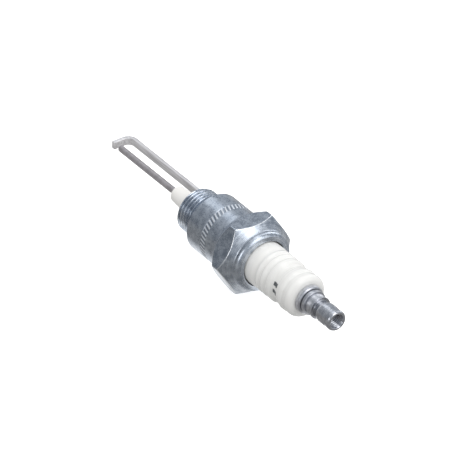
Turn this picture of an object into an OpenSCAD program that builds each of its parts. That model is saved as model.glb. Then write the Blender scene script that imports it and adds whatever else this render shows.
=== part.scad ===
// Ignition electrode: a spark electrode for a gas or oil burner, lying along X.
// The origin is the centre of the seat face. The spark end points to -X and the
// cable terminal to +X. The ground bar is on the +Y side and its leg points to -Y.
// Units are millimetres.

/* [Thread and seat] */
// Nominal diameter of the mounting thread
thread_d = 14; // [14:0.5:15]
// Pitch of the mounting thread
thread_pitch = 1.25; // [1:0.25:1.5]
// Length from the seat face to the end of the thread
reach = 8.5; // [8:0.5:12]
// Diameter of the round body behind the seat face
seat_d = 18.5; // [18:0.1:19.5]

/* [Hexagon and collar] */
// Width across the flats of the spanner hexagon
hex_flats = 22.2; // [21.5:0.1:23]
// Distance from the seat face to the front of the flats
hex_front = 15.5; // [15:0.1:16]
// Length of a flat along its middle
hex_length = 6.1; // [5.8:0.1:6.4]
// Diameter of the collar that is rolled over the insulator
collar_d = 19; // [18.6:0.1:19.4]
// Distance from the seat face to the end of the rolled collar
collar_end = 25.5; // [25.3:0.1:25.8]

/* [Spark end] */
// Diameter of the centre electrode
rod_d = 2; // [1.8:0.1:2.2]
// Gap between the centre electrode and the ground leg
spark_gap = 1.8; // [1:0.1:4]
// Distance from the seat face to the ground leg
leg_reach = 47.1; // [40:0.5:60]
// Distance from the seat face to the tip of the insulator nose
nose_reach = 17.4; // [15:0.1:20]
// Width of the ground bar
bar_width = 2.5; // [2.2:0.1:2.8]
// Thickness of the ground bar
bar_thick = 1.3; // [1.1:0.1:1.4]
// Distance from the axis to the inner face of the ground bar
bar_offset = 4.45; // [4.4:0.05:4.5]

/* [Insulator and terminal] */
// Distance from the seat face to the top of the insulator
insulator_top = 46.2; // [46:0.1:47]
// Diameter of the insulator ribs
rib_d = 13.6; // [13.4:0.1:13.6]
// Diameter of the cable terminal
terminal_d = 6.35; // [6.3:0.05:6.4]
// Distance from the seat face to the end of the terminal nut
terminal_end = 60.4; // [60.2:0.1:61]

/* [Hidden] */

$fn = 96;
eps = 0.02;

// mounting thread: 60 degree ridges with flat crests
crest_r = thread_d / 2;
root_r = crest_r - 0.614 * thread_pitch;
relief_r = root_r - 0.1;
recess_r = crest_r + 0.2;
recess_depth = 0.15;
relief_len = 1.6;
crest_land = thread_pitch / 8;
flank = (crest_r - root_r) * tan(30);
ridge_count = floor((reach - relief_len) / thread_pitch);
ridge_start = -relief_len - ridge_count * thread_pitch;
end_face_r = 5.9;
end_chamfer = 1.05;

// round body and hexagon
seat_r = seat_d / 2;
seat_chamfer = 0.4;
apothem = hex_flats / 2;
corner_r = apothem / cos(30) - 0.08;
hex_back = hex_front + hex_length;
front_slope = 0.79;
back_slope = 1.07;
shoulder_r = apothem - 0.7;
shoulder_x = hex_front - 0.7 / front_slope;
ridge_front = hex_front + (corner_r - apothem) / front_slope;
ridge_back = hex_back - (corner_r - apothem) / back_slope;

// rolled collar
collar_r = collar_d / 2;
collar_x = hex_back + (apothem - collar_r) / back_slope;
lip_r = 7.2;
lip_round = 1.3;
lip_under = collar_end - 1.2;

// shell bores, front to back
body_bore_r = 5.65;
nose_bore_r = 4.1;
ledge_x = 1.6;
seat_slope = 1.2;
ledge_front = ledge_x - (body_bore_r - nose_bore_r) / seat_slope;
step_x = 10.5;
main_bore_r = 7.7;

// insulator
seat_cone_x = 2.4;
lower_body_r = 5.5;
nose_root_r = 3.7;
nose_root_x = seat_cone_x - (lower_body_r - nose_root_r) / seat_slope;
belt_front = 12.3;
belt_back = 20.4;
belt_r = 7.6;
neck_r = rib_d / 2;
nose_tip_r = 2.45;
nose_mouth_r = 3.25;
rib_r = rib_d / 2;
valley_r = rib_r - 0.4;
band_r = rib_r - 1;
tip_bore_r = rod_d / 2 + 0.05;
core_bore_r = 2.15;
core_bore_x = -3;

// centre electrode and seal
rod_r = rod_d / 2;
rod_tip = -leg_reach + spark_gap;
head_r = 2.05;
head_len = 2.4;
neck_wire_r = 1.5;
seal_top = 15;

// ground bar
bend_r = 1.8;
leg_past = 0.95;

// terminal stud
shank_r = 1.95;
shank_foot = 5;
flange_r = 4.38;
flange_len = 1.8;
flange_gap = 0.35;
collet_r = 3.85;
stud_thread_r = 1.95;
stud_thread_pitch = 0.7;
stud_end = 57.2;

// terminal nut
nut_base = insulator_top + flange_len + flange_gap + 1.15 + eps;
nut_bore_r = 2.0;
nut_crest_r = 1.65;
nut_base_r = 3.3;
nut_ring_r = 3.45;
nut_neck_r = 2.65;
terminal_r = terminal_d / 2;
waist_r = terminal_r - 0.13;

// packing above the belt
wire_r = 0.4;
ring_r = (neck_r + main_bore_r) / 2;

// turns a list of [x, radius] points about the X axis
module turned(outline) {
    rotate([0, 90, 0])
        rotate_extrude()
            polygon([for (p = outline) [p[1], p[0]]]);
}

// points of an arc in the [x, radius] plane
function arc(x, r, size, from, to, steps = 8) =
    [for (i = [0 : steps]) let (a = from + (to - from) * i / steps)
        [x + size * cos(a), r + size * sin(a)]];

// one ridge of a 60 degree thread, as four outline points
function ridge(x, root, crest, half_flank, land) =
    [[x, root], [x + half_flank, crest],
     [x + half_flank + land, crest], [x + 2 * half_flank + land, root]];

module thread_body() {
    intersection() {
        turned(concat(
            [[-reach, 0], [-reach, root_r]],
            [for (i = [0 : ridge_count - 1], p = ridge(ridge_start + i * thread_pitch,
                root_r, crest_r, flank, crest_land)) p],
            [[-relief_len, relief_r], [recess_depth + eps, relief_r], [recess_depth + eps, 0]]));
        turned([[-reach, 0], [-reach, end_face_r], [-reach + end_chamfer, crest_r],
                [recess_depth + eps, crest_r], [recess_depth + eps, 0]]);
    }
}

module hexagon() {
    intersection() {
        translate([shoulder_x, 0, 0])
            rotate([0, 90, 0])
                rotate(90)
                    cylinder(r = apothem / cos(30), h = collar_x - shoulder_x, $fn = 6);
        turned([[shoulder_x, 0], [shoulder_x, shoulder_r], [ridge_front, corner_r],
                [ridge_back, corner_r], [collar_x, collar_r], [collar_x, 0]]);
    }
}

// threaded steel shell with its rolled collar
module shell() {
    color("#9aa1a8")
    difference() {
        union() {
            thread_body();
            turned([[recess_depth, 0], [recess_depth, recess_r], [0, recess_r + recess_depth],
                    [0, seat_r - seat_chamfer], [seat_chamfer, seat_r],
                    [shoulder_x + eps, seat_r], [shoulder_x + eps, 0]]);
            hexagon();
            turned(concat([[collar_x - eps, 0], [collar_x - eps, collar_r]],
                          arc(collar_end - lip_round - 0.2, collar_r - lip_round, lip_round, 90, 10),
                          [[collar_end, lip_r], [collar_end, 0]]));
        }
        turned([[-reach - 1, 0], [-reach - 1, nose_bore_r], [ledge_front, nose_bore_r],
                [ledge_x, body_bore_r], [step_x, body_bore_r],
                [step_x + 1.4, main_bore_r], [lip_under - 0.6, main_bore_r],
                [lip_under, lip_r], [collar_end + 1, lip_r], [collar_end + 1, 0]]);
    }
}

// flat nickel bar welded to the end of the shell and bent over the centre electrode
module ground_electrode() {
    leg_outer = -leg_reach - bar_thick;
    bend_x = -leg_reach + bend_r;
    bend_y = bar_offset - bend_r;
    color("#b9bbbc")
    translate([0, 0, -bar_width / 2])
        linear_extrude(bar_width) {
            translate([bend_x, bar_offset])
                square([-reach - bend_x, bar_thick]);
            intersection() {
                translate([bend_x, bend_y])
                    difference() {
                        circle(r = bend_r + bar_thick);
                        circle(r = bend_r);
                    }
                translate([leg_outer, bend_y])
                    square([bend_r + bar_thick, bend_r + bar_thick]);
            }
            translate([leg_outer, -leg_past])
                square([bar_thick, bend_y + leg_past]);
        }
}

// rib outline of the glazed top: [distance from the seat face, radius]
function rib_outline() = [
    [27.8, neck_r], [29.5, valley_r + 0.1], [30.7, rib_r], [31.6, valley_r], [32.9, rib_r],
    [34.1, valley_r], [35.3, rib_r - 0.05], [36.4, rib_r - 0.05], [37.1, band_r], [38.0, band_r],
    [39.2, band_r + 0.35], [40.2, rib_r - 0.25], [41.35, rib_r - 0.07], [42.0, rib_r - 0.1],
    [42.6, valley_r - 0.05], [43.6, rib_r - 0.25]];

// one-piece ceramic insulator: nose, seat cone, belt, neck and ribs
module insulator() {
    top_round = 1.85;
    color("#eceae4")
    difference() {
        turned(concat(
            [[-nose_reach, 0], [-nose_reach, nose_tip_r - 0.25], [-nose_reach + 0.25, nose_tip_r],
             [-reach, nose_mouth_r], [nose_root_x, nose_root_r],
             [seat_cone_x, lower_body_r], [belt_front - 1.6, lower_body_r], [belt_front, belt_r],
             [belt_back, belt_r], [belt_back + 0.7, neck_r]],
            rib_outline(),
            arc(insulator_top - top_round, rib_r - 0.15 - top_round, top_round, 90, 0),
            [[insulator_top, 0]]));
        turned([[-nose_reach - 1, 0], [-nose_reach - 1, tip_bore_r], [core_bore_x - 0.6, tip_bore_r],
                [core_bore_x, core_bore_r], [insulator_top + 1, core_bore_r],
                [insulator_top + 1, 0]]);
    }
}

// nickel alloy rod with an upset head that sits on the step of the insulator bore
module centre_electrode() {
    head_x = core_bore_x;
    color("#77787a")
    turned([[rod_tip, 0], [rod_tip, rod_r - 0.15], [rod_tip + 0.15, rod_r], [head_x - 0.6, rod_r],
            [head_x, head_r], [head_x + 0.8, head_r], [head_x + 0.8, neck_wire_r],
            [head_x + head_len, neck_wire_r], [head_x + head_len, 0]]);
}

// conductive glass that fills the bore between the electrode head and the stud
module glass_seal() {
    head_top = core_bore_x + 0.8;
    color("#3c3f45")
    difference() {
        turned([[head_top, 0], [head_top, core_bore_r - eps / 2], [seal_top, core_bore_r - eps / 2],
                [seal_top, 0]]);
        turned([[head_top - 1, 0], [head_top - 1, neck_wire_r], [core_bore_x + head_len, neck_wire_r],
                [core_bore_x + head_len, 0]]);
        turned([[shank_foot, 0], [shank_foot, shank_r], [seal_top + 1, shank_r], [seal_top + 1, 0]]);
    }
}

// steel stud: shank in the bore, double flange on the insulator, thread for the nut
module terminal_stud() {
    ridges = floor((stud_end - nut_base) / stud_thread_pitch) - 1;
    depth = 0.3;
    half_flank = depth * tan(30);
    color("#a7abb0")
    turned(concat(
        [[shank_foot, 0], [shank_foot, shank_r], [insulator_top, shank_r],
         [insulator_top, flange_r - 0.15], [insulator_top + 0.15, flange_r],
         [insulator_top + flange_len - 0.3, flange_r], [insulator_top + flange_len, flange_r - 0.3],
         [insulator_top + flange_len, collet_r - 0.4],
         [insulator_top + flange_len + flange_gap, collet_r - 0.4],
         [insulator_top + flange_len + flange_gap, collet_r],
         [nut_base - eps, collet_r], [nut_base - eps, stud_thread_r - depth]],
        [for (i = [0 : ridges - 1], p = ridge(nut_base + 0.3 + i * stud_thread_pitch,
            stud_thread_r - depth, stud_thread_r, half_flank,
            stud_thread_pitch - 2 * half_flank - 0.12)) p],
        [[stud_end - 0.3, stud_thread_r - depth], [stud_end, stud_thread_r - 2 * depth],
         [stud_end, 0]]));
}

// removable barrel nut that the ignition cable snaps on to
module terminal_nut() {
    free_start = stud_end + 0.3;
    free_pitch = 0.7;
    free_ridges = floor((terminal_end - 0.5 - free_start) / free_pitch);
    depth = nut_bore_r - nut_crest_r;
    half_flank = depth * tan(30);
    mouth_r = 2.25;
    color("#a7abb0")
    difference() {
        turned([[nut_base, 0], [nut_base, nut_base_r - 0.1], [nut_base + 0.1, nut_base_r],
                [51.9, nut_base_r], [51.9, nut_ring_r], [52.4, nut_ring_r], [52.5, nut_neck_r],
                [53.6, nut_neck_r], [54.2, terminal_r - 0.22], [55, terminal_r], [57.4, terminal_r],
                [58.3, waist_r], [59.2, terminal_r - 0.02], [59.8, terminal_r - 0.02],
                [terminal_end - 0.15, terminal_r - 0.25], [terminal_end, terminal_r - 0.4],
                [terminal_end, 0]]);
        turned(concat(
            [[nut_base - 1, 0], [nut_base - 1, nut_bore_r], [free_start, nut_bore_r]],
            [for (i = [0 : free_ridges - 1], p = ridge(free_start + i * free_pitch + 0.08,
                nut_bore_r, nut_crest_r, half_flank, free_pitch - 2 * half_flank - 0.16)) p],
            [[terminal_end - 0.55, nut_bore_r], [terminal_end, mouth_r], [terminal_end + 1, mouth_r],
             [terminal_end + 1, 0]]));
    }
}

// thin metal washer between the seat cone of the insulator and the ledge in the shell
module seat_gasket() {
    gap = 0.04;
    inner_r = nose_bore_r + 0.2;
    outer_r = lower_body_r - 0.2;
    function ledge_at(r) = ledge_x - (body_bore_r - r) / seat_slope + gap;
    function cone_at(r) = seat_cone_x - (lower_body_r - r) / seat_slope - gap;
    color("#b87b4b")
    turned([[ledge_at(inner_r), inner_r], [ledge_at(outer_r), outer_r],
            [cone_at(outer_r), outer_r], [cone_at(inner_r), inner_r]]);
}

// two wire rings, one on each side of the powder
module packing_rings() {
    color("#8a8f96")
    for (x = [belt_back + 0.75 + wire_r, lip_under - 0.55 - wire_r])
        rotate([0, 90, 0])
            translate([0, 0, x])
                rotate_extrude()
                    translate([ring_r, 0])
                        circle(r = wire_r, $fn = 32);
}

// compressed powder that seals and holds the insulator
module talc_packing() {
    gap = 0.02;
    front = belt_back + 0.75 + 2 * wire_r + gap;
    back = lip_under - 0.55 - 2 * wire_r - gap;
    color("#f4f2ec")
    turned([[front, neck_r + gap], [front, main_bore_r - gap], [back, main_bore_r - gap],
            [back, neck_r + gap]]);
}

shell();
ground_electrode();
insulator();
centre_electrode();
glass_seal();
terminal_stud();
terminal_nut();
seat_gasket();
packing_rings();
talc_packing();
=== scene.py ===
"""Ignition electrode lying on a pale table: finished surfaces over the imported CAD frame.

Lengths of the object are millimetres in the CAD's frame until mesh_object() turns them into metres. The
camera and the soft boxes are placed in metres. X runs along the electrode, 0 at the seat face, and an
angle about X is counted from +Y towards +Z.
"""

import math

import bpy
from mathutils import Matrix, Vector


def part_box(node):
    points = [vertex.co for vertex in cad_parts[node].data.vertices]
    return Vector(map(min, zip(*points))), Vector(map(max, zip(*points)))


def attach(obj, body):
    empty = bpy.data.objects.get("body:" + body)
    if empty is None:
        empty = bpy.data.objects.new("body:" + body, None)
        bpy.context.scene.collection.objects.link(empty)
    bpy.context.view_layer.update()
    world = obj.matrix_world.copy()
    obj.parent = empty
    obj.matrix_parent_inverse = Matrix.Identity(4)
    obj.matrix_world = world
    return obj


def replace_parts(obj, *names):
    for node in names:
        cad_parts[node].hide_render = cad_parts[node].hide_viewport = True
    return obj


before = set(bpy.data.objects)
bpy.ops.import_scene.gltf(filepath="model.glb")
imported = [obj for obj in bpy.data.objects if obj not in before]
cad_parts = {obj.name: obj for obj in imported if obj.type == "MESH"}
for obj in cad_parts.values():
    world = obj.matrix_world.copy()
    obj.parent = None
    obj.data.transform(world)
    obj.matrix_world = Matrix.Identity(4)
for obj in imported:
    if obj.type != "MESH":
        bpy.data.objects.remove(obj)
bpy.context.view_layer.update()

MM = 0.001
BODY = "electrode"
NUT = "nut"


def cad_box(node):
    """Lowest and highest corner of a CAD node in millimetres."""
    low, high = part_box(node)
    return low / MM, high / MM


shell_low, shell_high = cad_box("shell")
insulator_low, insulator_high = cad_box("insulator")
bar_low, bar_high = cad_box("ground_electrode")
nut_low, nut_high = cad_box("terminal_nut")
ROD_TIP = cad_box("centre_electrode")[0].x
STUD_END = cad_box("terminal_stud")[1].x

# outlines: the most that a corner takes of a side, how much further out its support point is, the
# radius that closes a tip, and the least length to divide by
MAX_SHARE = 0.35
SUPPORT = 1.3
NO_RADIUS = 0.001
TINY = 1e-6

# form of every thread, as shares of half a pitch from the crest: where the root begins, how wide the
# flank is, and how soft its ends are
ROOT_FROM = 0.9
FLANK_WIDTH = 0.78
FLANK_SOFT = 0.35

# mounting thread
PITCH = 1.25
CREST_R = 7.0
ROOT_R = 6.24
THREAD_START = shell_low.x
THREAD_END = -1.75
RELIEF_R = 6.13
END_FACE_R = 5.9
LEAD_IN = 1.05
THREAD_FADE = 0.45
NOSE_BORE_R = 4.1
NOSE_BORE_DEPTH = 1.2

# round body and its band of pressed marks
SEAT_R = 9.25
SEAT_CHAMFER = 0.35
BAND_START = 6.75
BAND_END = 9.05
BAND_DEPTH = 0.1
BAND_RIM = 0.12
MARKS = 48
MARK_SLANT = math.radians(18)

# shares of the spacing of the marks, from the middle of one: where its top ends, where its foot ends,
# and the same for the painted highlight on its top, the painted shade between marks and its scuffed roughness
MARK_TOP = 0.17
MARK_FOOT = 0.33
HIGHLIGHT_AND_SCUFF_TOP = 0.16
HIGHLIGHT_AND_SCUFF_FOOT = 0.32

# hexagon
APOTHEM = shell_high.z
CORNER_R = shell_high.y
HEX_FRONT = 15.5
HEX_BACK = 21.6
FRONT_SLOPE = 0.79
BACK_SLOPE = 1.07
FRONT_DEPTH = 0.7
HEX_SECTOR = math.radians(60)

# rolled collar
COLLAR_R = 9.5
COLLAR_ROUND = 1.3
LIP_STRETCH = 1.45
LIP_R = 7.2
COLLAR_FILLET = 0.75
COLLAR_END = shell_high.x
MAIN_BORE_R = 7.7
MAIN_BORE_FRONT = 12

# ground bar and centre rod
BAR_INNER_Y = 4.45
BAR_BEND_R = 1.8
BAR_CORNER = 0.28
BAR_TIP_SHRINK = 0.9
ROD_R = 1.0
ROD_END = -3

# insulator
NOSE_MATTE_END = 12.0
ROD_HOLE_R = 1.05
NOSE_TIP_R = 2.45
SEAT_CONE_R = 5.5
BELT_R = insulator_high.y
RIB_R = 6.8
VALLEY_R = 6.3
RIBS_START = 27.8
RIBS_END = 36.3
GROOVE_R = 5.8
GROOVE_START = 37.3
GROOVE_END = 38.1
LAST_RIB = 41.35
SHOULDER_R = 6.65
SHOULDER_ROUND = 1.85

# the two printed bars: the middle of each in degrees, half their width, and where they start and end
PRINT_MIDDLES = (156.4, 179.2)
PRINT_HALF = 6
PRINT_START = 37.4
PRINT_END = 39.5
PRINT_LIFT = 0.02
PRINT_STEPS = 8

# terminal stud and nut
TERMINAL_PITCH = 0.7
FLANGE_R = 4.38
STEP_R = 3.85
STUD_ROOT_R = 1.65
STUD_THREAD = 0.29
NUT_BASE_R = 3.3
NUT_BASE_END = 51.6
NUT_LINES = 0.4
NUT_LINE_DEPTH = 0.035
NUT_RING_R = 3.45
NUT_NECK_R = 2.65
NUT_HEAD_R = 3.175
NUT_WAIST_R = 3.05
NUT_RIM_R = 3.155
NUT_BORE_R = 2.0
NUT_THREAD = 0.33
NUT_THREAD_START = 54.0

# painted shade in the terminal: where each groove starts and ends and how dark its painted shade is, and
# the radius inside which the mouth gets painted shade
SHADED_TERMINAL_GROOVES = ((48.0, 48.35, 0.5), (52.45, 53.9, 0.4))
BORE_SHADE_R = 2.05

# colours of the mottled metals, darker and lighter tone
ZINC = ((0.40, 0.445, 0.51), (0.70, 0.745, 0.81))
TERMINAL_METAL = ((0.50, 0.51, 0.55), (0.80, 0.81, 0.84))
BAR_METAL = ((0.58, 0.57, 0.58), (0.82, 0.81, 0.82))
ROD_METAL = ((0.37, 0.35, 0.36), (0.48, 0.455, 0.47))

# other colours
# painted shade in the gaps between the pressed marks
ZINC_PAINTED_GAP_SHADE = (0.36, 0.40, 0.46)
# painted highlight on the tops of the pressed marks and along the hexagon's rear edges
ZINC_PAINTED_HIGHLIGHT = (0.95, 0.97, 1.0)
# painted shade for the grooves, the neck and the mouth of the terminal
TERMINAL_PAINTED_SHADE = (0.16, 0.17, 0.20)
BARE_CERAMIC = (0.82, 0.81, 0.79)
GLAZED_CERAMIC = (0.79, 0.79, 0.775)
INK = (0.10, 0.11, 0.12)

# hidden pieces: node, name of its material, colour, roughness and how metallic it is
HIDDEN_LOOKS = (("glass_seal", "seal_glass", (0.12, 0.13, 0.15), 0.2, 0),
                ("seat_gasket", "gasket_metal", (0.62, 0.45, 0.34), 0.35, 1),
                ("packing_rings", "ring_steel", (0.45, 0.46, 0.48), 0.35, 1),
                ("talc_packing", "talc", (0.85, 0.84, 0.80), 0.9, 0))

# camera and studio, with brightness as a share of plain white
AIM = Vector((2.45, 2.58, -0.73)) * MM
AZIMUTH = 54.6
ELEVATION = 34.7
CAMERA_DISTANCE = 4.0
CAMERA_LENS = 1129
FLOOR_HALF = 3000
FLOOR_TONES = ((0.86, 0.86, 0.86), (0.88, 0.88, 0.88))
FLOOR_GLOW = 0.65
FLOOR_NEAR = 1.1
FLOOR_LEFT = 0.27
FLOOR_RIGHT = 0.45
FLOOR_BOUNCE = 0.5
ROOM_TINT = (0.86, 0.92, 1.0)
ROOM_FADE = (0.45, 0.89, 0)
ROOM_FADE_START = -0.97
ROOM_FADE_END = -0.45
ROOM_DIM = 0.25
ROOM_BRIGHT = 0.47
ROOM_BOUNCE = 0.75

# bright spots that metal sees on the floor: middle x and y, share of distances along X, start and end
# of the fade
SHELL_SPOT = (2, -2, 0.5, 6, 15)
INSULATOR_SPOT = (35, 3, 0.25, 5, 8)

# the dim floor around them goes from left to right over these distances sideways
FLOOR_FADE_SLOPE = 0.5
FLOOR_FADE_START = -12
FLOOR_FADE_END = 15

# soft boxes: name, direction, distance, width, height, radiance and tint
WHITE = (1, 1, 1)
SOFT_BOXES = (("key", (0.60, 0.13, 0.79), 1.1, 0.66, 1.0, 2.1, WHITE),
              ("back_top", (-0.66, 0.18, 0.73), 1.2, 0.5, 0.5, 0.7, (0.92, 0.96, 1.0)),
              ("side", (0.1, -0.91, 0.38), 1.2, 0.4, 0.4, 3.0, WHITE),
              ("strip", (-0.2, 0.8, 0.5), 1.2, 0.3, 1.1, 1.9, WHITE),
              ("overhead", (-0.12, 0.15, 0.98), 1.2, 0.6, 0.5, 1.3, WHITE),
              ("front", (0.88, 0.42, 0.22), 1.2, 0.8, 0.7, 0.85, WHITE))


# ---------------------------------------------------------------- outlines

def between(a, b, t):
    """Point a share t of the way from a to b."""
    return a[0] + (b[0] - a[0]) * t, a[1] + (b[1] - a[1]) * t


def rounded(points, size, steps=4):
    """Outline with every corner cut by a small curve, and a support point on each side of it.

    A point can carry its own corner size as a third value.
    """
    out = [points[0][:2]]
    for before, corner, after in zip(points, points[1:], points[2:]):
        want = corner[2] if len(corner) > 2 else size
        reach_in = min(MAX_SHARE, want / max(math.dist(before[:2], corner[:2]), TINY))
        reach_out = min(MAX_SHARE, want / max(math.dist(after[:2], corner[:2]), TINY))
        start = between(corner, before, reach_in)
        end = between(corner, after, reach_out)
        out.append(between(corner, before, reach_in * SUPPORT))
        for i in range(steps + 1):
            t = i / steps
            out.append(between(between(start, corner, t), between(corner, end, t), t))
        out.append(between(corner, after, reach_out * SUPPORT))
    out.append(points[-1][:2])
    return out


def eased(points, steps):
    """Outline through the points with a level tangent at each of them, for moulded ribs."""
    out = []
    for (x0, r0), (x1, r1) in zip(points, points[1:]):
        for i in range(steps):
            t = i / steps
            out.append((x0 + (x1 - x0) * t, r0 + (r1 - r0) * (1 - math.cos(math.pi * t)) / 2))
    return out + [points[-1]]


def arc(x, r, size, start, end, steps=10):
    """Points of an arc in the (x, radius) plane, angles in degrees."""
    angles = [math.radians(start + (end - start) * i / steps) for i in range(steps + 1)]
    return [(x + size * math.cos(a), r + size * math.sin(a)) for a in angles]


def spread(start, end, step):
    """Evenly spaced values from start to end, no further apart than step."""
    count = max(1, math.ceil(abs(end - start) / step))
    return [start + (end - start) * i / count for i in range(count + 1)]


# ---------------------------------------------------------------- meshes

def mesh_object(name, points, faces, sharp=180):
    """Mesh object from points in millimetres, smooth except at edges sharper than the limit."""
    mesh = bpy.data.meshes.new(name)
    mesh.from_pydata([(x * MM, y * MM, z * MM) for x, y, z in points], [], faces)
    mesh.polygons.foreach_set("use_smooth", [True] * len(mesh.polygons))
    if sharp < 180:
        mesh.set_sharp_from_angle(angle=math.radians(sharp))
    mesh.update()
    obj = bpy.data.objects.new(name, mesh)
    bpy.context.scene.collection.objects.link(obj)
    return obj


def skin(outline_at, segments, first=0):
    """Points and faces of a skin about X. outline_at(angle) gives (x, radius) points, equal in number."""
    points = []
    for i in range(segments):
        angle = 2 * math.pi * i / segments
        c = math.cos(angle)
        s = math.sin(angle)
        points += [(x, r * c, r * s) for x, r in outline_at(angle)]
    rows = len(points) // segments
    faces = []
    for i in range(segments):
        here = first + i * rows
        there = first + (i + 1) % segments * rows
        faces += [(here + k, here + k + 1, there + k + 1, there + k) for k in range(rows - 1)]
    return points, faces


def turned(name, outline, segments):
    """Solid of revolution about X."""
    points, faces = skin(lambda angle: outline, segments)
    return mesh_object(name, points, faces)


# ---------------------------------------------------------------- shell

def thread_height(x, angle, pitch, start, end, fade):
    """0 at the root and 1 at the crest of a right-hand thread, fading out at both ends."""
    turn = (x / pitch - angle / (2 * math.pi)) % 1
    from_crest = abs(turn - 0.5) * 2
    flank = min(1, max(0, (ROOT_FROM - from_crest) / FLANK_WIDTH))
    ease = flank * flank * (3 - 2 * flank) * FLANK_SOFT + flank * (1 - FLANK_SOFT)
    run_out = min(1, max(0, (x - start) / fade), max(0, (end - x) / fade))
    return ease * run_out


def thread_outline(angle):
    """Front bore edge, end face, thread, relief and the inner part of the seat face."""
    out = rounded([(THREAD_START + NOSE_BORE_DEPTH, NOSE_BORE_R), (THREAD_START, NOSE_BORE_R, 0.25),
                   (THREAD_START, END_FACE_R, 0.12), (THREAD_START + 0.15, END_FACE_R + 0.16)], 0.1)
    for x in spread(THREAD_START + 0.25, THREAD_END, 0.05):
        chamfer = END_FACE_R + (x - THREAD_START) * (CREST_R - END_FACE_R) / LEAD_IN
        crest = min(CREST_R, chamfer)
        height = thread_height(x, angle, PITCH, THREAD_START, THREAD_END, THREAD_FADE)
        out.append((x, min(ROOT_R, crest) + max(0, crest - ROOT_R) * height))
    out += rounded([(THREAD_END + 0.1, RELIEF_R), (0.15, RELIEF_R, 0.4), (0.15, CREST_R + 0.2, 0.05),
                    (0, CREST_R + 0.35, 0.05), (0, SEAT_R - 1)], 0.1)
    return out


def front_body_outline():
    """Seat face, its chamfer and the round body up to the band of marks."""
    return rounded([(0, SEAT_R - 1), (0, SEAT_R - SEAT_CHAMFER, 0.12), (SEAT_CHAMFER, SEAT_R, 0.12),
                    (BAND_START, SEAT_R)], 0.1)


def band_outline(angle):
    """Shallow rolled groove crossed by raised slanted marks, flush with the body."""
    out = []
    for x in spread(BAND_START, BAND_END, 0.07):
        from_edge = min(x - BAND_START, BAND_END - x)
        floor = min(1, from_edge / BAND_RIM)
        slant = (x - BAND_START) * math.tan(MARK_SLANT) / SEAT_R
        turn = ((angle - slant) * MARKS / (2 * math.pi)) % 1
        mark = min(1, max(0, (MARK_FOOT - abs(turn - 0.5)) / (MARK_FOOT - MARK_TOP)))
        end_fade = min(1, max(0, (from_edge - 0.1) / 0.15))
        out.append((x, SEAT_R - BAND_DEPTH * floor * (1 - mark * end_fade)))
    return out


def hexagon_outline(angle):
    """Body behind the band, the chamfered hexagon, the rolled collar and the main bore."""
    flat_r = APOTHEM / math.cos(angle % HEX_SECTOR - HEX_SECTOR / 2)
    r = min(flat_r, CORNER_R)
    rise = r - APOTHEM
    front_x = HEX_FRONT - FRONT_DEPTH / FRONT_SLOPE
    collar_x = HEX_BACK + (APOTHEM - COLLAR_R) / BACK_SLOPE
    cone_end = (collar_x - COLLAR_FILLET, COLLAR_R + COLLAR_FILLET * BACK_SLOPE)
    hexagon = [
        (BAND_END, SEAT_R),
        (front_x, SEAT_R, 0.25),
        (front_x, APOTHEM - FRONT_DEPTH, 0.1),
        (HEX_FRONT + rise / FRONT_SLOPE, r, 0.22),
        (HEX_BACK - rise / BACK_SLOPE, r, 0.24),
        cone_end]
    crown_x = COLLAR_END - 0.2 - COLLAR_ROUND * LIP_STRETCH
    lip = [(crown_x + (x - crown_x) * LIP_STRETCH, r)
           for x, r in arc(crown_x, COLLAR_R - COLLAR_ROUND, COLLAR_ROUND, 90, 10)]
    fillet = [between(between(cone_end, (collar_x, COLLAR_R), i / 8),
                      between((collar_x, COLLAR_R), lip[0], i / 8), i / 8) for i in range(1, 8)]
    bore = [lip[-1], (COLLAR_END, LIP_R + 0.1, 0.12), (COLLAR_END - 0.15, LIP_R, 0.12),
            (COLLAR_END - 1.2, LIP_R, 0.1), (COLLAR_END - 1.8, MAIN_BORE_R, 0.1),
            (MAIN_BORE_FRONT, MAIN_BORE_R)]
    return rounded(hexagon, 0.1) + fillet + lip[:-1] + rounded(bore, 0.1)


def build_shell():
    """One skin made of the thread, the body, the band of marks, and the hexagon with its collar."""
    body = front_body_outline()
    points = []
    faces = []
    for outline_at, segments in ((thread_outline, 288), (lambda angle: body, 720),
                                 (band_outline, 1440), (hexagon_outline, 720)):
        more_points, more_faces = skin(outline_at, segments, len(points))
        points += more_points
        faces += more_faces
    shell = mesh_object("shell_skin", points, faces, sharp=50)
    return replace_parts(shell, "shell")


# ---------------------------------------------------------------- spark end

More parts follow.
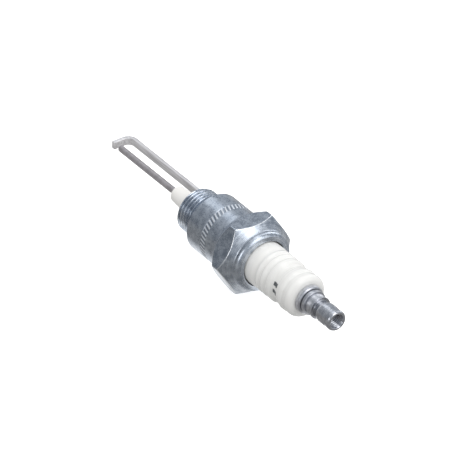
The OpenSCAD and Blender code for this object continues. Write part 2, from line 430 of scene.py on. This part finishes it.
def build_ground_bar():
    """Flat bar with rounded edges swept along its straight run, bend and leg."""
    thick = bar_high.y - BAR_INNER_Y
    half_wide = bar_high.z
    centre_y = bar_high.y - thick / 2
    centre_x = bar_low.x + thick / 2
    turn_r = BAR_BEND_R + thick / 2
    path = [((x, centre_y), 0) for x in spread(bar_high.x, centre_x + turn_r, 4)]
    for i in range(1, 17):
        a = math.radians(90 * i / 16)
        path.append(((centre_x + turn_r - turn_r * math.sin(a),
                      centre_y - turn_r + turn_r * math.cos(a)), a))
    path.append(((centre_x, bar_low.y + 0.12), math.radians(90)))
    path.append(((centre_x, bar_low.y), math.radians(90)))
    section = []
    for side_y, side_z, start in ((1, 1, 0), (-1, 1, 90), (-1, -1, 180), (1, -1, 270)):
        for i in range(7):
            a = math.radians(start + 90 * i / 6)
            section.append((side_y * (thick / 2 - BAR_CORNER) + BAR_CORNER * math.cos(a),
                            side_z * (half_wide - BAR_CORNER) + BAR_CORNER * math.sin(a)))
    points = []
    for index, ((x, y), a) in enumerate(path):
        shrink = BAR_TIP_SHRINK if index == len(path) - 1 else 1
        for across, z in section:
            across *= shrink
            points.append((x - across * math.sin(a), y + across * math.cos(a), z * shrink))
    count = len(section)
    faces = []
    for i in range(len(path) - 1):
        for k in range(count):
            n = (k + 1) % count
            faces.append((i * count + k, i * count + n, (i + 1) * count + n, (i + 1) * count + k))
    faces.append(tuple(range(count)))
    faces.append(tuple(reversed(range((len(path) - 1) * count, len(path) * count))))
    bar = mesh_object("ground_bar", points, faces, sharp=50)
    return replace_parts(bar, "ground_electrode")


def build_rod():
    """Centre electrode with a softly worn tip."""
    edge = rounded([(ROD_TIP, 0.1), (ROD_TIP, ROD_R, 0.2), (ROD_END, ROD_R)], 0.1)
    rod = turned("centre_rod", [(ROD_TIP, NO_RADIUS)] + edge, 64)
    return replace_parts(rod, "centre_electrode")


# ---------------------------------------------------------------- insulator

def insulator_outline():
    """Nose, seat cone, belt, neck, ribs and rounded top of the one-piece ceramic."""
    tip = insulator_low.x
    top = insulator_high.x
    nose = rounded([(tip + 2, ROD_HOLE_R), (tip, ROD_HOLE_R, 0.15), (tip, NOSE_TIP_R, 0.35),
                    (-8.5, 3.25, 2), (0.9, 3.7, 0.2), (2.4, SEAT_CONE_R, 0.2), (10.7, SEAT_CONE_R, 0.3),
                    (12.3, BELT_R, 0.3), (20.4, BELT_R, 0.3), (21.1, RIB_R, 0.3),
                    (RIBS_START, RIB_R)], 0.2)
    ribs = eased([(RIBS_START, RIB_R), (29.5, VALLEY_R + 0.2), (30.7, RIB_R), (31.6, VALLEY_R),
                  (32.9, RIB_R), (34.1, VALLEY_R), (35.3, RIB_R - 0.05), (RIBS_END, RIB_R - 0.05),
                  (GROOVE_START, GROOVE_R)], 7)
    rise = eased([(GROOVE_END, GROOVE_R), (39.2, GROOVE_R + 0.38), (40.2, RIB_R - 0.25),
                  (LAST_RIB, RIB_R - 0.04)], 5)
    last = eased([(LAST_RIB, RIB_R - 0.04), (42.0, RIB_R - 0.1), (42.6, VALLEY_R + 0.05),
                  (43.6, RIB_R - 0.25), (44.35, SHOULDER_R)], 6)
    shoulder = arc(top - SHOULDER_ROUND, SHOULDER_R - SHOULDER_ROUND, SHOULDER_ROUND, 90, 0, 14)
    return nose + ribs[1:] + rise + last[1:] + shoulder[1:] + [(top, 2.2), (top - 2, 2.15)]


def build_insulator():
    """The insulator turned from its outline."""
    ceramic = turned("insulator_body", insulator_outline(), 192)
    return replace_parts(ceramic, "insulator")


def radius_at(outline, x):
    """Radius of the last stretch of an outline that passes x."""
    found = 0
    for (x0, r0), (x1, r1) in zip(outline, outline[1:]):
        if x0 <= x <= x1:
            found = r0 + (r1 - r0) * (x - x0) / max(x1 - x0, TINY)
    return found


def build_marks():
    """Two plain printed bars in the wide groove of the insulator."""
    outline = insulator_outline()
    stations = spread(PRINT_START, PRINT_END, 0.2)
    rows = len(stations)
    points = []
    faces = []
    for middle in PRINT_MIDDLES:
        first = len(points)
        for i in range(PRINT_STEPS + 1):
            a = math.radians(middle + PRINT_HALF * (2 * i / PRINT_STEPS - 1))
            for x in stations:
                r = radius_at(outline, x) + PRINT_LIFT
                points.append((x, r * math.cos(a), r * math.sin(a)))
        for i in range(PRINT_STEPS):
            here = first + i * rows
            faces += [(here + k, here + k + 1, here + rows + k + 1, here + rows + k)
                      for k in range(rows - 1)]
    bars = mesh_object("insulator_print", points, faces)
    return bars


# ---------------------------------------------------------------- terminal

def build_stud():
    """Double flange on top of the insulator and the threaded pin inside the nut."""
    top = insulator_high.x
    start = nut_low.x
    end = STUD_END - 0.4
    flange = rounded([(top - 4, 1.95), (top, 1.95, 0.05), (top, FLANGE_R - 0.13, 0.12),
                      (top + 0.25, FLANGE_R, 0.15), (top + 1.45, FLANGE_R, 0.15),
                      (top + 1.8, 4.0, 0.15), (top + 1.8, STEP_R - 0.4, 0.1),
                      (top + 2.15, STEP_R - 0.4, 0.1), (top + 2.15, STEP_R, 0.1),
                      (start - 0.05, STEP_R, 0.1), (start - 0.05, STUD_ROOT_R + 0.05, 0.1),
                      (start, STUD_ROOT_R)], 0.1)
    tip = [(STUD_END - 0.3, 1.6), (STUD_END, 1.35), (STUD_END, NO_RADIUS)]

    def outline_at(angle):
        thread = [(x, STUD_ROOT_R + STUD_THREAD * thread_height(x, angle, TERMINAL_PITCH, start, end, 0.3))
                  for x in spread(start, end, 0.05)]
        return flange + thread + tip

    points, faces = skin(outline_at, 120)
    stud = mesh_object("terminal_stud_skin", points, faces, sharp=50)
    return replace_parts(stud, "terminal_stud")


def build_nut():
    """Barrel nut: turned base, thin ring, neck, barrel head with a waist, and a threaded mouth."""
    base = nut_low.x
    end = nut_high.x
    thread_end = end - 0.45
    outside = rounded([(base + 1, NUT_BORE_R), (base, NUT_BORE_R, 0.1), (base, NUT_BASE_R - 0.1, 0.1),
                       (base + 0.3, NUT_BASE_R)], 0.1)
    for x in spread(base + 0.35, NUT_BASE_END, 0.05):
        ripple = 1 - math.cos(2 * math.pi * (x - base) / NUT_LINES)
        outside.append((x, NUT_BASE_R - NUT_LINE_DEPTH * ripple))
    outside += rounded([(NUT_BASE_END + 0.1, NUT_BASE_R), (51.9, NUT_BASE_R, 0.08),
                        (51.98, NUT_RING_R, 0.05), (52.35, NUT_RING_R, 0.08), (52.5, NUT_NECK_R, 0.2),
                        (53.6, NUT_NECK_R, 0.3), (54.2, 2.95, 0.25), (55.0, NUT_HEAD_R, 0.3),
                        (57.4, NUT_HEAD_R, 0.5), (58.3, NUT_WAIST_R, 0.5), (59.2, NUT_RIM_R, 0.4),
                        (59.9, NUT_RIM_R, 0.2),
                        (end - 0.1, 2.92, 0.1), (end, 2.8, 0.06), (end, 2.3, 0.08),
                        (end - 0.5, 2.02)], 0.1)

    def outline_at(angle):
        inside = [(x, NUT_BORE_R - NUT_THREAD * thread_height(x, angle, TERMINAL_PITCH, NUT_THREAD_START,
                                                              thread_end, 0.25))
                  for x in spread(end - 0.5, NUT_THREAD_START, 0.05)]
        return outside + inside

    points, faces = skin(outline_at, 144)
    nut = mesh_object("terminal_nut_skin", points, faces, sharp=50)
    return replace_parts(nut, "terminal_nut")


# ---------------------------------------------------------------- materials

class Nodes:
    """Small helper for building a principled material out of nodes, with places in millimetres."""

    def __init__(self, name):
        self.material = bpy.data.materials.new(name)
        self.material.use_nodes = True
        self.tree = self.material.node_tree
        self.shader = self.tree.nodes["Principled BSDF"]
        source = self.tree.nodes.new("ShaderNodeTexCoord")
        scale = self.tree.nodes.new("ShaderNodeMapping")
        scale.inputs["Scale"].default_value = (1 / MM, 1 / MM, 1 / MM)
        self.link(source.outputs["Object"], scale.inputs["Vector"])
        self.place = scale.outputs["Vector"]

    def link(self, output, target):
        """Feeds an output into an input."""
        self.tree.links.new(output, target)

    def math(self, kind, *values):
        """Result of one Math node. Each value is a number or an output."""
        node = self.tree.nodes.new("ShaderNodeMath")
        node.operation = kind
        for socket, value in zip(node.inputs, values):
            if isinstance(value, (int, float)):
                socket.default_value = value
            else:
                self.link(value, socket)
        return node.outputs["Value"]

    def noise(self, scale, detail, stretch=(1, 1, 1), place=None):
        """Cloudy noise between 0 and 1, at the place on the object unless another one is given."""
        mapping = self.tree.nodes.new("ShaderNodeMapping")
        mapping.inputs["Scale"].default_value = stretch
        self.link(place or self.place, mapping.inputs["Vector"])
        node = self.tree.nodes.new("ShaderNodeTexNoise")
        node.inputs["Scale"].default_value = scale
        node.inputs["Detail"].default_value = detail
        self.link(mapping.outputs["Vector"], node.inputs["Vector"])
        return node.outputs["Fac"]

    def spread(self, value, low, high, to_low, to_high):
        """Value carried from the range low to high onto to_low to to_high, and held beyond it."""
        node = self.tree.nodes.new("ShaderNodeMapRange")
        for socket, limit in (("From Min", low), ("From Max", high), ("To Min", to_low), ("To Max", to_high)):
            if isinstance(limit, (int, float)):
                node.inputs[socket].default_value = limit
            else:
                self.link(limit, node.inputs[socket])
        self.link(value, node.inputs["Value"])
        return node.outputs["Result"]

    def blend(self, factor, first, second):
        """Mix of two colours. Sockets 6 and 7 in and 2 out are the Mix node's colours."""
        node = self.tree.nodes.new("ShaderNodeMix")
        node.data_type = "RGBA"
        self.link(factor, node.inputs["Factor"])
        for socket, colour in ((node.inputs[6], first), (node.inputs[7], second)):
            if isinstance(colour, tuple):
                socket.default_value = (*colour, 1)
            else:
                self.link(colour, socket)
        return node.outputs[2]

    def bump(self, height, strength, distance):
        """Small relief, with its full height given in millimetres."""
        node = self.tree.nodes.new("ShaderNodeBump")
        node.inputs["Strength"].default_value = strength
        node.inputs["Distance"].default_value = distance * MM
        self.link(height, node.inputs["Height"])
        self.link(node.outputs["Normal"], self.shader.inputs["Normal"])

    def coordinates(self):
        """The place on the object as x, y and z in millimetres."""
        split = self.tree.nodes.new("ShaderNodeSeparateXYZ")
        self.link(self.place, split.inputs["Vector"])
        return split.outputs["X"], split.outputs["Y"], split.outputs["Z"]

    def lathe(self):
        """The distance along X, the radius, and a vector of the two, which lathe lines follow."""
        along, y, z = self.coordinates()
        radius = self.math("SQRT", self.math("ADD", self.math("POWER", y, 2), self.math("POWER", z, 2)))
        join = self.tree.nodes.new("ShaderNodeCombineXYZ")
        self.link(along, join.inputs["X"])
        self.link(radius, join.inputs["Y"])
        return along, radius, join.outputs["Vector"]

    def away_from(self, x, y, along):
        """Distance on the floor from a point, with distances along X counted at the given share."""
        patch = self.tree.nodes.new("ShaderNodeMapping")
        patch.inputs["Location"].default_value = (-x * along, -y, 0)
        patch.inputs["Scale"].default_value = (along, 1, 0)
        self.link(self.place, patch.inputs["Vector"])
        away = self.tree.nodes.new("ShaderNodeVectorMath")
        away.operation = "LENGTH"
        self.link(patch.outputs["Vector"], away.inputs[0])
        return away.outputs["Value"]

    def angle(self):
        """The angle about X in radians, counted from +Y towards +Z."""
        y, z = self.coordinates()[1:]
        return self.math("ARCTAN2", z, y)

    def halves(self, first, second):
        """The mean of two values."""
        return self.math("ADD", self.math("MULTIPLY", first, 0.5), self.math("MULTIPLY", second, 0.5))

    def contrast(self, value, low, high):
        """The middle of a noise, stretched to go from low to high."""
        return self.spread(value, 0.35, 0.65, low, high)


def metal(name, tones, rough, mottle, grain, shine, stretch=(1, 1, 1)):
    """Satin metal with cloudy tone and fine grain. A shine below 1 dulls it."""
    n = Nodes(name)
    n.shader.inputs["Metallic"].default_value = shine
    cloud = n.noise(mottle, 4, stretch)
    n.link(n.blend(n.contrast(cloud, 0, 1), *tones), n.shader.inputs["Base Color"])
    fine = n.noise(6, 2)
    n.link(n.contrast(n.halves(cloud, fine), rough - 0.06, rough + 0.06), n.shader.inputs["Roughness"])
    n.bump(n.math("MULTIPLY", fine, grain), 0.5, 0.03)
    return n.material


def terminal_material():
    """Turned nickel plating: dull on the base, brighter on the head, painted shade in the grooves and the
    bore.
    """
    n = Nodes("terminal_plating")
    n.shader.inputs["Metallic"].default_value = 1
    along, radius, lines_place = n.lathe()
    cloud = n.noise(1.1, 3)
    lines = n.noise(5, 2, place=lines_place)
    plating = n.blend(n.contrast(n.halves(cloud, lines), 0, 1), *TERMINAL_METAL)
    # painted shade: darker inside the bore mouth and in the grooves and the neck
    painted_shade = n.spread(radius, BORE_SHADE_R, BORE_SHADE_R + 0.15, 0.5, 0)
    for start, end, darkness in SHADED_TERMINAL_GROOVES:
        inside = n.math("MULTIPLY", n.spread(along, start - 0.1, start, 0, 1),
                        n.spread(along, end, end + 0.25, 1, 0))
        painted_shade = n.math("ADD", painted_shade, n.math("MULTIPLY", inside, darkness))
    n.link(n.blend(n.math("MINIMUM", painted_shade, 1), plating, TERMINAL_PAINTED_SHADE), n.shader.inputs["Base Color"])
    base_rough = n.spread(along, nut_low.x + 2.6, nut_low.x + 3, 0.36, 0.24)
    n.link(n.math("ADD", base_rough, n.contrast(cloud, -0.04, 0.04)), n.shader.inputs["Roughness"])
    n.bump(n.math("ADD", lines, n.math("MULTIPLY", cloud, 0.3)), 0.5, 0.03)
    return n.material


def pressed_marks(n, along):
    """1 on the tops of the slanted marks, which get a painted highlight and scuffed roughness, 0 in the gaps
    between them, which get painted shade, and 0.5 elsewhere.
    """
    per_turn = MARKS / (2 * math.pi)
    slant = per_turn * math.tan(MARK_SLANT) / SEAT_R
    turn = n.math("SUBTRACT", n.math("MULTIPLY", n.angle(), per_turn),
                  n.math("MULTIPLY", n.math("SUBTRACT", along, BAND_START), slant))
    from_middle = n.math("ABSOLUTE", n.math("SUBTRACT", n.math("FRACT", turn), 0.5))
    stripe = n.spread(from_middle, HIGHLIGHT_AND_SCUFF_TOP, HIGHLIGHT_AND_SCUFF_FOOT, 1, 0)
    middle = (BAND_START + BAND_END) / 2
    half = (BAND_END - BAND_START) / 2
    inside = n.spread(n.math("ABSOLUTE", n.math("SUBTRACT", along, middle)), half - 0.2, half, 1, 0)
    return n.spread(inside, 0, 1, 0.5, stripe)


def hexagon_edge_highlight(n, along):
    """How strongly a highlight is painted along the line where the rear cone cuts the flats, and 0 elsewhere.
    """
    # painted highlight: a thin bright line on the edge between the flats and the rear cone
    from_flat = n.math("SUBTRACT", n.math("WRAP", n.angle(), HEX_SECTOR, 0), HEX_SECTOR / 2)
    flat_r = n.math("DIVIDE", APOTHEM, n.math("COSINE", from_flat))
    rise = n.math("SUBTRACT", n.math("MINIMUM", flat_r, CORNER_R), APOTHEM)
    edge_x = n.math("SUBTRACT", HEX_BACK, n.math("DIVIDE", rise, BACK_SLOPE))
    away = n.math("ABSOLUTE", n.math("SUBTRACT", along, edge_x))
    return n.spread(away, 0.06, 0.2, 0.8, 0)


def zinc_material():
    """Bright zinc plating: satin on the body, smoother on the hexagon, turned on the cone and collar, with a
    painted highlight on the tops of the marks and along the hexagon's rear edges and painted shade in the
    gaps between the marks.
    """
    n = Nodes("zinc_plating")
    n.shader.inputs["Metallic"].default_value = 1
    cloud = n.noise(0.55, 5)
    speck = n.noise(3.2, 3)
    along, _, lines_place = n.lathe()
    lines = n.noise(7, 3, place=lines_place)
    turned_zone = n.spread(along, HEX_BACK - 1.5, HEX_BACK - 0.5, 0, 1)
    mottled_zone = n.math("SUBTRACT", 1, turned_zone)
    tone = n.math("ADD", n.math("MULTIPLY", n.halves(cloud, speck), mottled_zone),
                  n.math("MULTIPLY", n.halves(lines, cloud), turned_zone))
    marks = pressed_marks(n, along)
    plating = n.blend(n.spread(tone, 0.4, 0.6, 0, 1), *ZINC)
    # painted shade in the gaps between the pressed marks
    painted_gap_shade = n.blend(n.spread(marks, 0, 0.5, 1, 0), plating, ZINC_PAINTED_GAP_SHADE)
    # painted highlight on the tops of the marks and along the hexagon's rear edges
    painted_highlight = n.math("MAXIMUM", n.spread(marks, 0.5, 1, 0, 1), hexagon_edge_highlight(n, along))
    n.link(n.blend(painted_highlight, painted_gap_shade, ZINC_PAINTED_HIGHLIGHT), n.shader.inputs["Base Color"])
    thread_rough = n.spread(along, -0.2, 0.2, -0.12, 0)
    body_rough = n.math("ADD", n.spread(along, HEX_FRONT - 1, HEX_FRONT, 0.30, 0.20), thread_rough)
    turned_rough = n.math("MULTIPLY", turned_zone, 0.07)
    scuffed = n.spread(marks, 0.5, 1, 0, 0.3)
    uneven = n.contrast(tone, -0.05, 0.05)
    n.link(n.math("ADD", n.math("ADD", body_rough, turned_rough), n.math("ADD", scuffed, uneven)),
           n.shader.inputs["Roughness"])
    n.link(n.math("MULTIPLY", turned_zone, 0.75), n.shader.inputs["Anisotropic"])
    around = n.tree.nodes.new("ShaderNodeTangent")
    around.direction_type = "RADIAL"
    around.axis = "X"
    n.link(around.outputs["Tangent"], n.shader.inputs["Tangent"])
    height = n.math("ADD", n.math("MULTIPLY", lines, turned_zone),
                    n.math("MULTIPLY", n.math("MULTIPLY", speck, mottled_zone), 0.45))
    n.bump(height, 0.5, 0.035)
    return n.material


def ceramic_material():
    """Warm white ceramic: glossy glaze above the shell, bare and matte on the nose."""
    n = Nodes("glazed_ceramic")
    along = n.coordinates()[0]
    glazed = n.spread(along, NOSE_MATTE_END, NOSE_MATTE_END + 1, 0, 1)
    n.link(n.blend(glazed, BARE_CERAMIC, GLAZED_CERAMIC), n.shader.inputs["Base Color"])
    n.link(n.spread(glazed, 0, 1, 0.75, 0.16), n.shader.inputs["Roughness"])
    n.shader.inputs["Specular IOR Level"].default_value = 0.5
    n.shader.inputs["Subsurface Weight"].default_value = 0.25
    n.shader.inputs["Subsurface Radius"].default_value = (1.0, 1.0, 1.0)
    n.shader.inputs["Subsurface Scale"].default_value = 0.7 * MM
    n.bump(n.noise(0.8, 2), 0.25, 0.05)
    return n.material


def plain_material(name, colour, rough, metallic=0.0):
    """One colour with a little grain, for small and hidden pieces."""
    n = Nodes(name)
    grain = n.noise(4, 3)
    darker = tuple(c * 0.85 for c in colour)
    n.link(n.blend(grain, darker, colour), n.shader.inputs["Base Color"])
    n.link(n.spread(grain, 0.3, 0.7, rough - 0.05, rough + 0.05), n.shader.inputs["Roughness"])
    n.shader.inputs["Metallic"].default_value = metallic
    return n.material


def give(obj, material):
    """Puts one material on a piece or a CAD node."""
    obj.data.materials.clear()
    obj.data.materials.append(material)


# ---------------------------------------------------------------- stage

def build_floor(z):
    """Wide flat floor at height z."""
    corners = [(x * FLOOR_HALF, y * FLOOR_HALF, z) for x, y in ((-1, -1), (1, -1), (1, 1), (-1, 1))]
    floor = mesh_object("floor", corners, [(0, 1, 2, 3)])
    give(floor, floor_material())


def seen_spot(n, spot, bright, around):
    """Brightness of a spot on the floor, fading out into what is around it."""
    x, y, along, fade_start, fade_end = spot
    return n.spread(n.away_from(x, y, along), fade_start, fade_end, bright, around)


def floor_material():
    """Pale glowing table. Metal sees it bright close to the object and dim elsewhere."""
    n = Nodes("pale_floor")
    n.link(n.blend(n.noise(0.02, 1), *FLOOR_TONES), n.shader.inputs["Base Color"])
    n.shader.inputs["Roughness"].default_value = 0.7
    n.shader.inputs["Emission Color"].default_value = (1, 1, 1, 1)
    n.shader.inputs["Emission Strength"].default_value = FLOOR_GLOW
    x, y = n.coordinates()[:2]
    sideways = n.math("SUBTRACT", y, n.math("MULTIPLY", x, FLOOR_FADE_SLOPE))
    far = n.spread(sideways, FLOOR_FADE_START, FLOOR_FADE_END, FLOOR_LEFT, FLOOR_RIGHT)
    mirrored = n.math("MAXIMUM", seen_spot(n, SHELL_SPOT, FLOOR_NEAR, far),
                      seen_spot(n, INSULATOR_SPOT, FLOOR_NEAR, 0))
    rays = n.tree.nodes.new("ShaderNodeLightPath")
    seen = n.tree.nodes.new("ShaderNodeEmission")
    n.link(n.spread(rays.outputs["Is Glossy Ray"], 0, 1, FLOOR_BOUNCE, mirrored), seen.inputs["Strength"])
    mix = n.tree.nodes.new("ShaderNodeMixShader")
    n.link(rays.outputs["Is Camera Ray"], mix.inputs["Fac"])
    n.link(seen.outputs["Emission"], mix.inputs[1])
    n.link(n.shader.outputs["BSDF"], mix.inputs[2])
    n.link(mix.outputs["Shader"], n.tree.nodes["Material Output"].inputs["Surface"])
    return n.material


def soft_light(name, direction, distance, width, height, radiance, tint):
    """Rectangular soft box facing the aim point, in metres. A radiance of 1 looks plain white."""
    data = bpy.data.lights.new(name, "AREA")
    data.shape = "RECTANGLE"
    data.size = width
    data.size_y = height
    data.energy = radiance * math.pi * width * height
    data.color = tint
    lamp = bpy.data.objects.new(name, data)
    way = Vector(direction).normalized()
    lamp.location = AIM + way * distance
    lamp.rotation_euler = way.to_track_quat("Z", "Y").to_euler()
    bpy.context.scene.collection.objects.link(lamp)


def build_camera():
    """Long-lens camera looking at the aim point."""
    a = math.radians(AZIMUTH)
    e = math.radians(ELEVATION)
    back = Vector((math.sin(a) * math.cos(e), -math.cos(a) * math.cos(e), math.sin(e)))
    data = bpy.data.cameras.new("camera")
    data.sensor_width = 36
    data.lens = CAMERA_LENS
    data.clip_start = 0.01
    camera = bpy.data.objects.new("camera", data)
    camera.location = AIM + back * CAMERA_DISTANCE
    camera.rotation_euler = back.to_track_quat("Z", "Y").to_euler()
    bpy.context.scene.collection.objects.link(camera)
    bpy.context.scene.camera = camera


def build_world():
    """Even white room for matte surfaces; metal sees it bluish and dimmer towards one side."""
    world = bpy.data.worlds.new("studio")
    world.use_nodes = True
    tree = world.node_tree
    even = tree.nodes["Background"]
    even.inputs["Color"].default_value = (1, 1, 1, 1)
    even.inputs["Strength"].default_value = ROOM_BOUNCE
    mirrored = tree.nodes.new("ShaderNodeBackground")
    mirrored.inputs["Color"].default_value = (*ROOM_TINT, 1)
    place = tree.nodes.new("ShaderNodeTexCoord")
    across = tree.nodes.new("ShaderNodeVectorMath")
    across.operation = "DOT_PRODUCT"
    across.inputs[1].default_value = ROOM_FADE
    fade = tree.nodes.new("ShaderNodeMapRange")
    for socket, limit in (("From Min", ROOM_FADE_START), ("From Max", ROOM_FADE_END),
                          ("To Min", ROOM_DIM), ("To Max", ROOM_BRIGHT)):
        fade.inputs[socket].default_value = limit
    rays = tree.nodes.new("ShaderNodeLightPath")
    mix = tree.nodes.new("ShaderNodeMixShader")
    tree.links.new(place.outputs["Generated"], across.inputs[0])
    tree.links.new(across.outputs["Value"], fade.inputs["Value"])
    tree.links.new(fade.outputs["Result"], mirrored.inputs["Strength"])
    tree.links.new(rays.outputs["Is Glossy Ray"], mix.inputs["Fac"])
    tree.links.new(even.outputs["Background"], mix.inputs[1])
    tree.links.new(mirrored.outputs["Background"], mix.inputs[2])
    tree.links.new(mix.outputs["Shader"], tree.nodes["World Output"].inputs["Surface"])
    bpy.context.scene.world = world


# ---------------------------------------------------------------- assembly

zinc = zinc_material()
terminal_metal = terminal_material()
ceramic = ceramic_material()
ink = plain_material("print_ink", INK, 0.45)
bar_metal = metal("nickel_bar", BAR_METAL, rough=0.38, mottle=2.2, grain=0.25, shine=0.5,
                  stretch=(0.06, 1, 1))
rod_metal = metal("nickel_rod", ROD_METAL, rough=0.45, mottle=0.8, grain=0.2, shine=0.6)

for build, material, body in ((build_shell, zinc, BODY),
                              (build_ground_bar, bar_metal, BODY),
                              (build_rod, rod_metal, BODY),
                              (build_insulator, ceramic, BODY),
                              (build_marks, ink, BODY),
                              (build_stud, terminal_metal, BODY),
                              (build_nut, terminal_metal, NUT)):
    piece = build()
    give(piece, material)
    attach(piece, body)

for node, *look in HIDDEN_LOOKS:
    give(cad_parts[node], plain_material(*look))

build_floor(-APOTHEM)
build_camera()
build_world()
for soft_box in SOFT_BOXES:
    soft_light(*soft_box)
bpy.context.scene.view_settings.view_transform = "Standard"
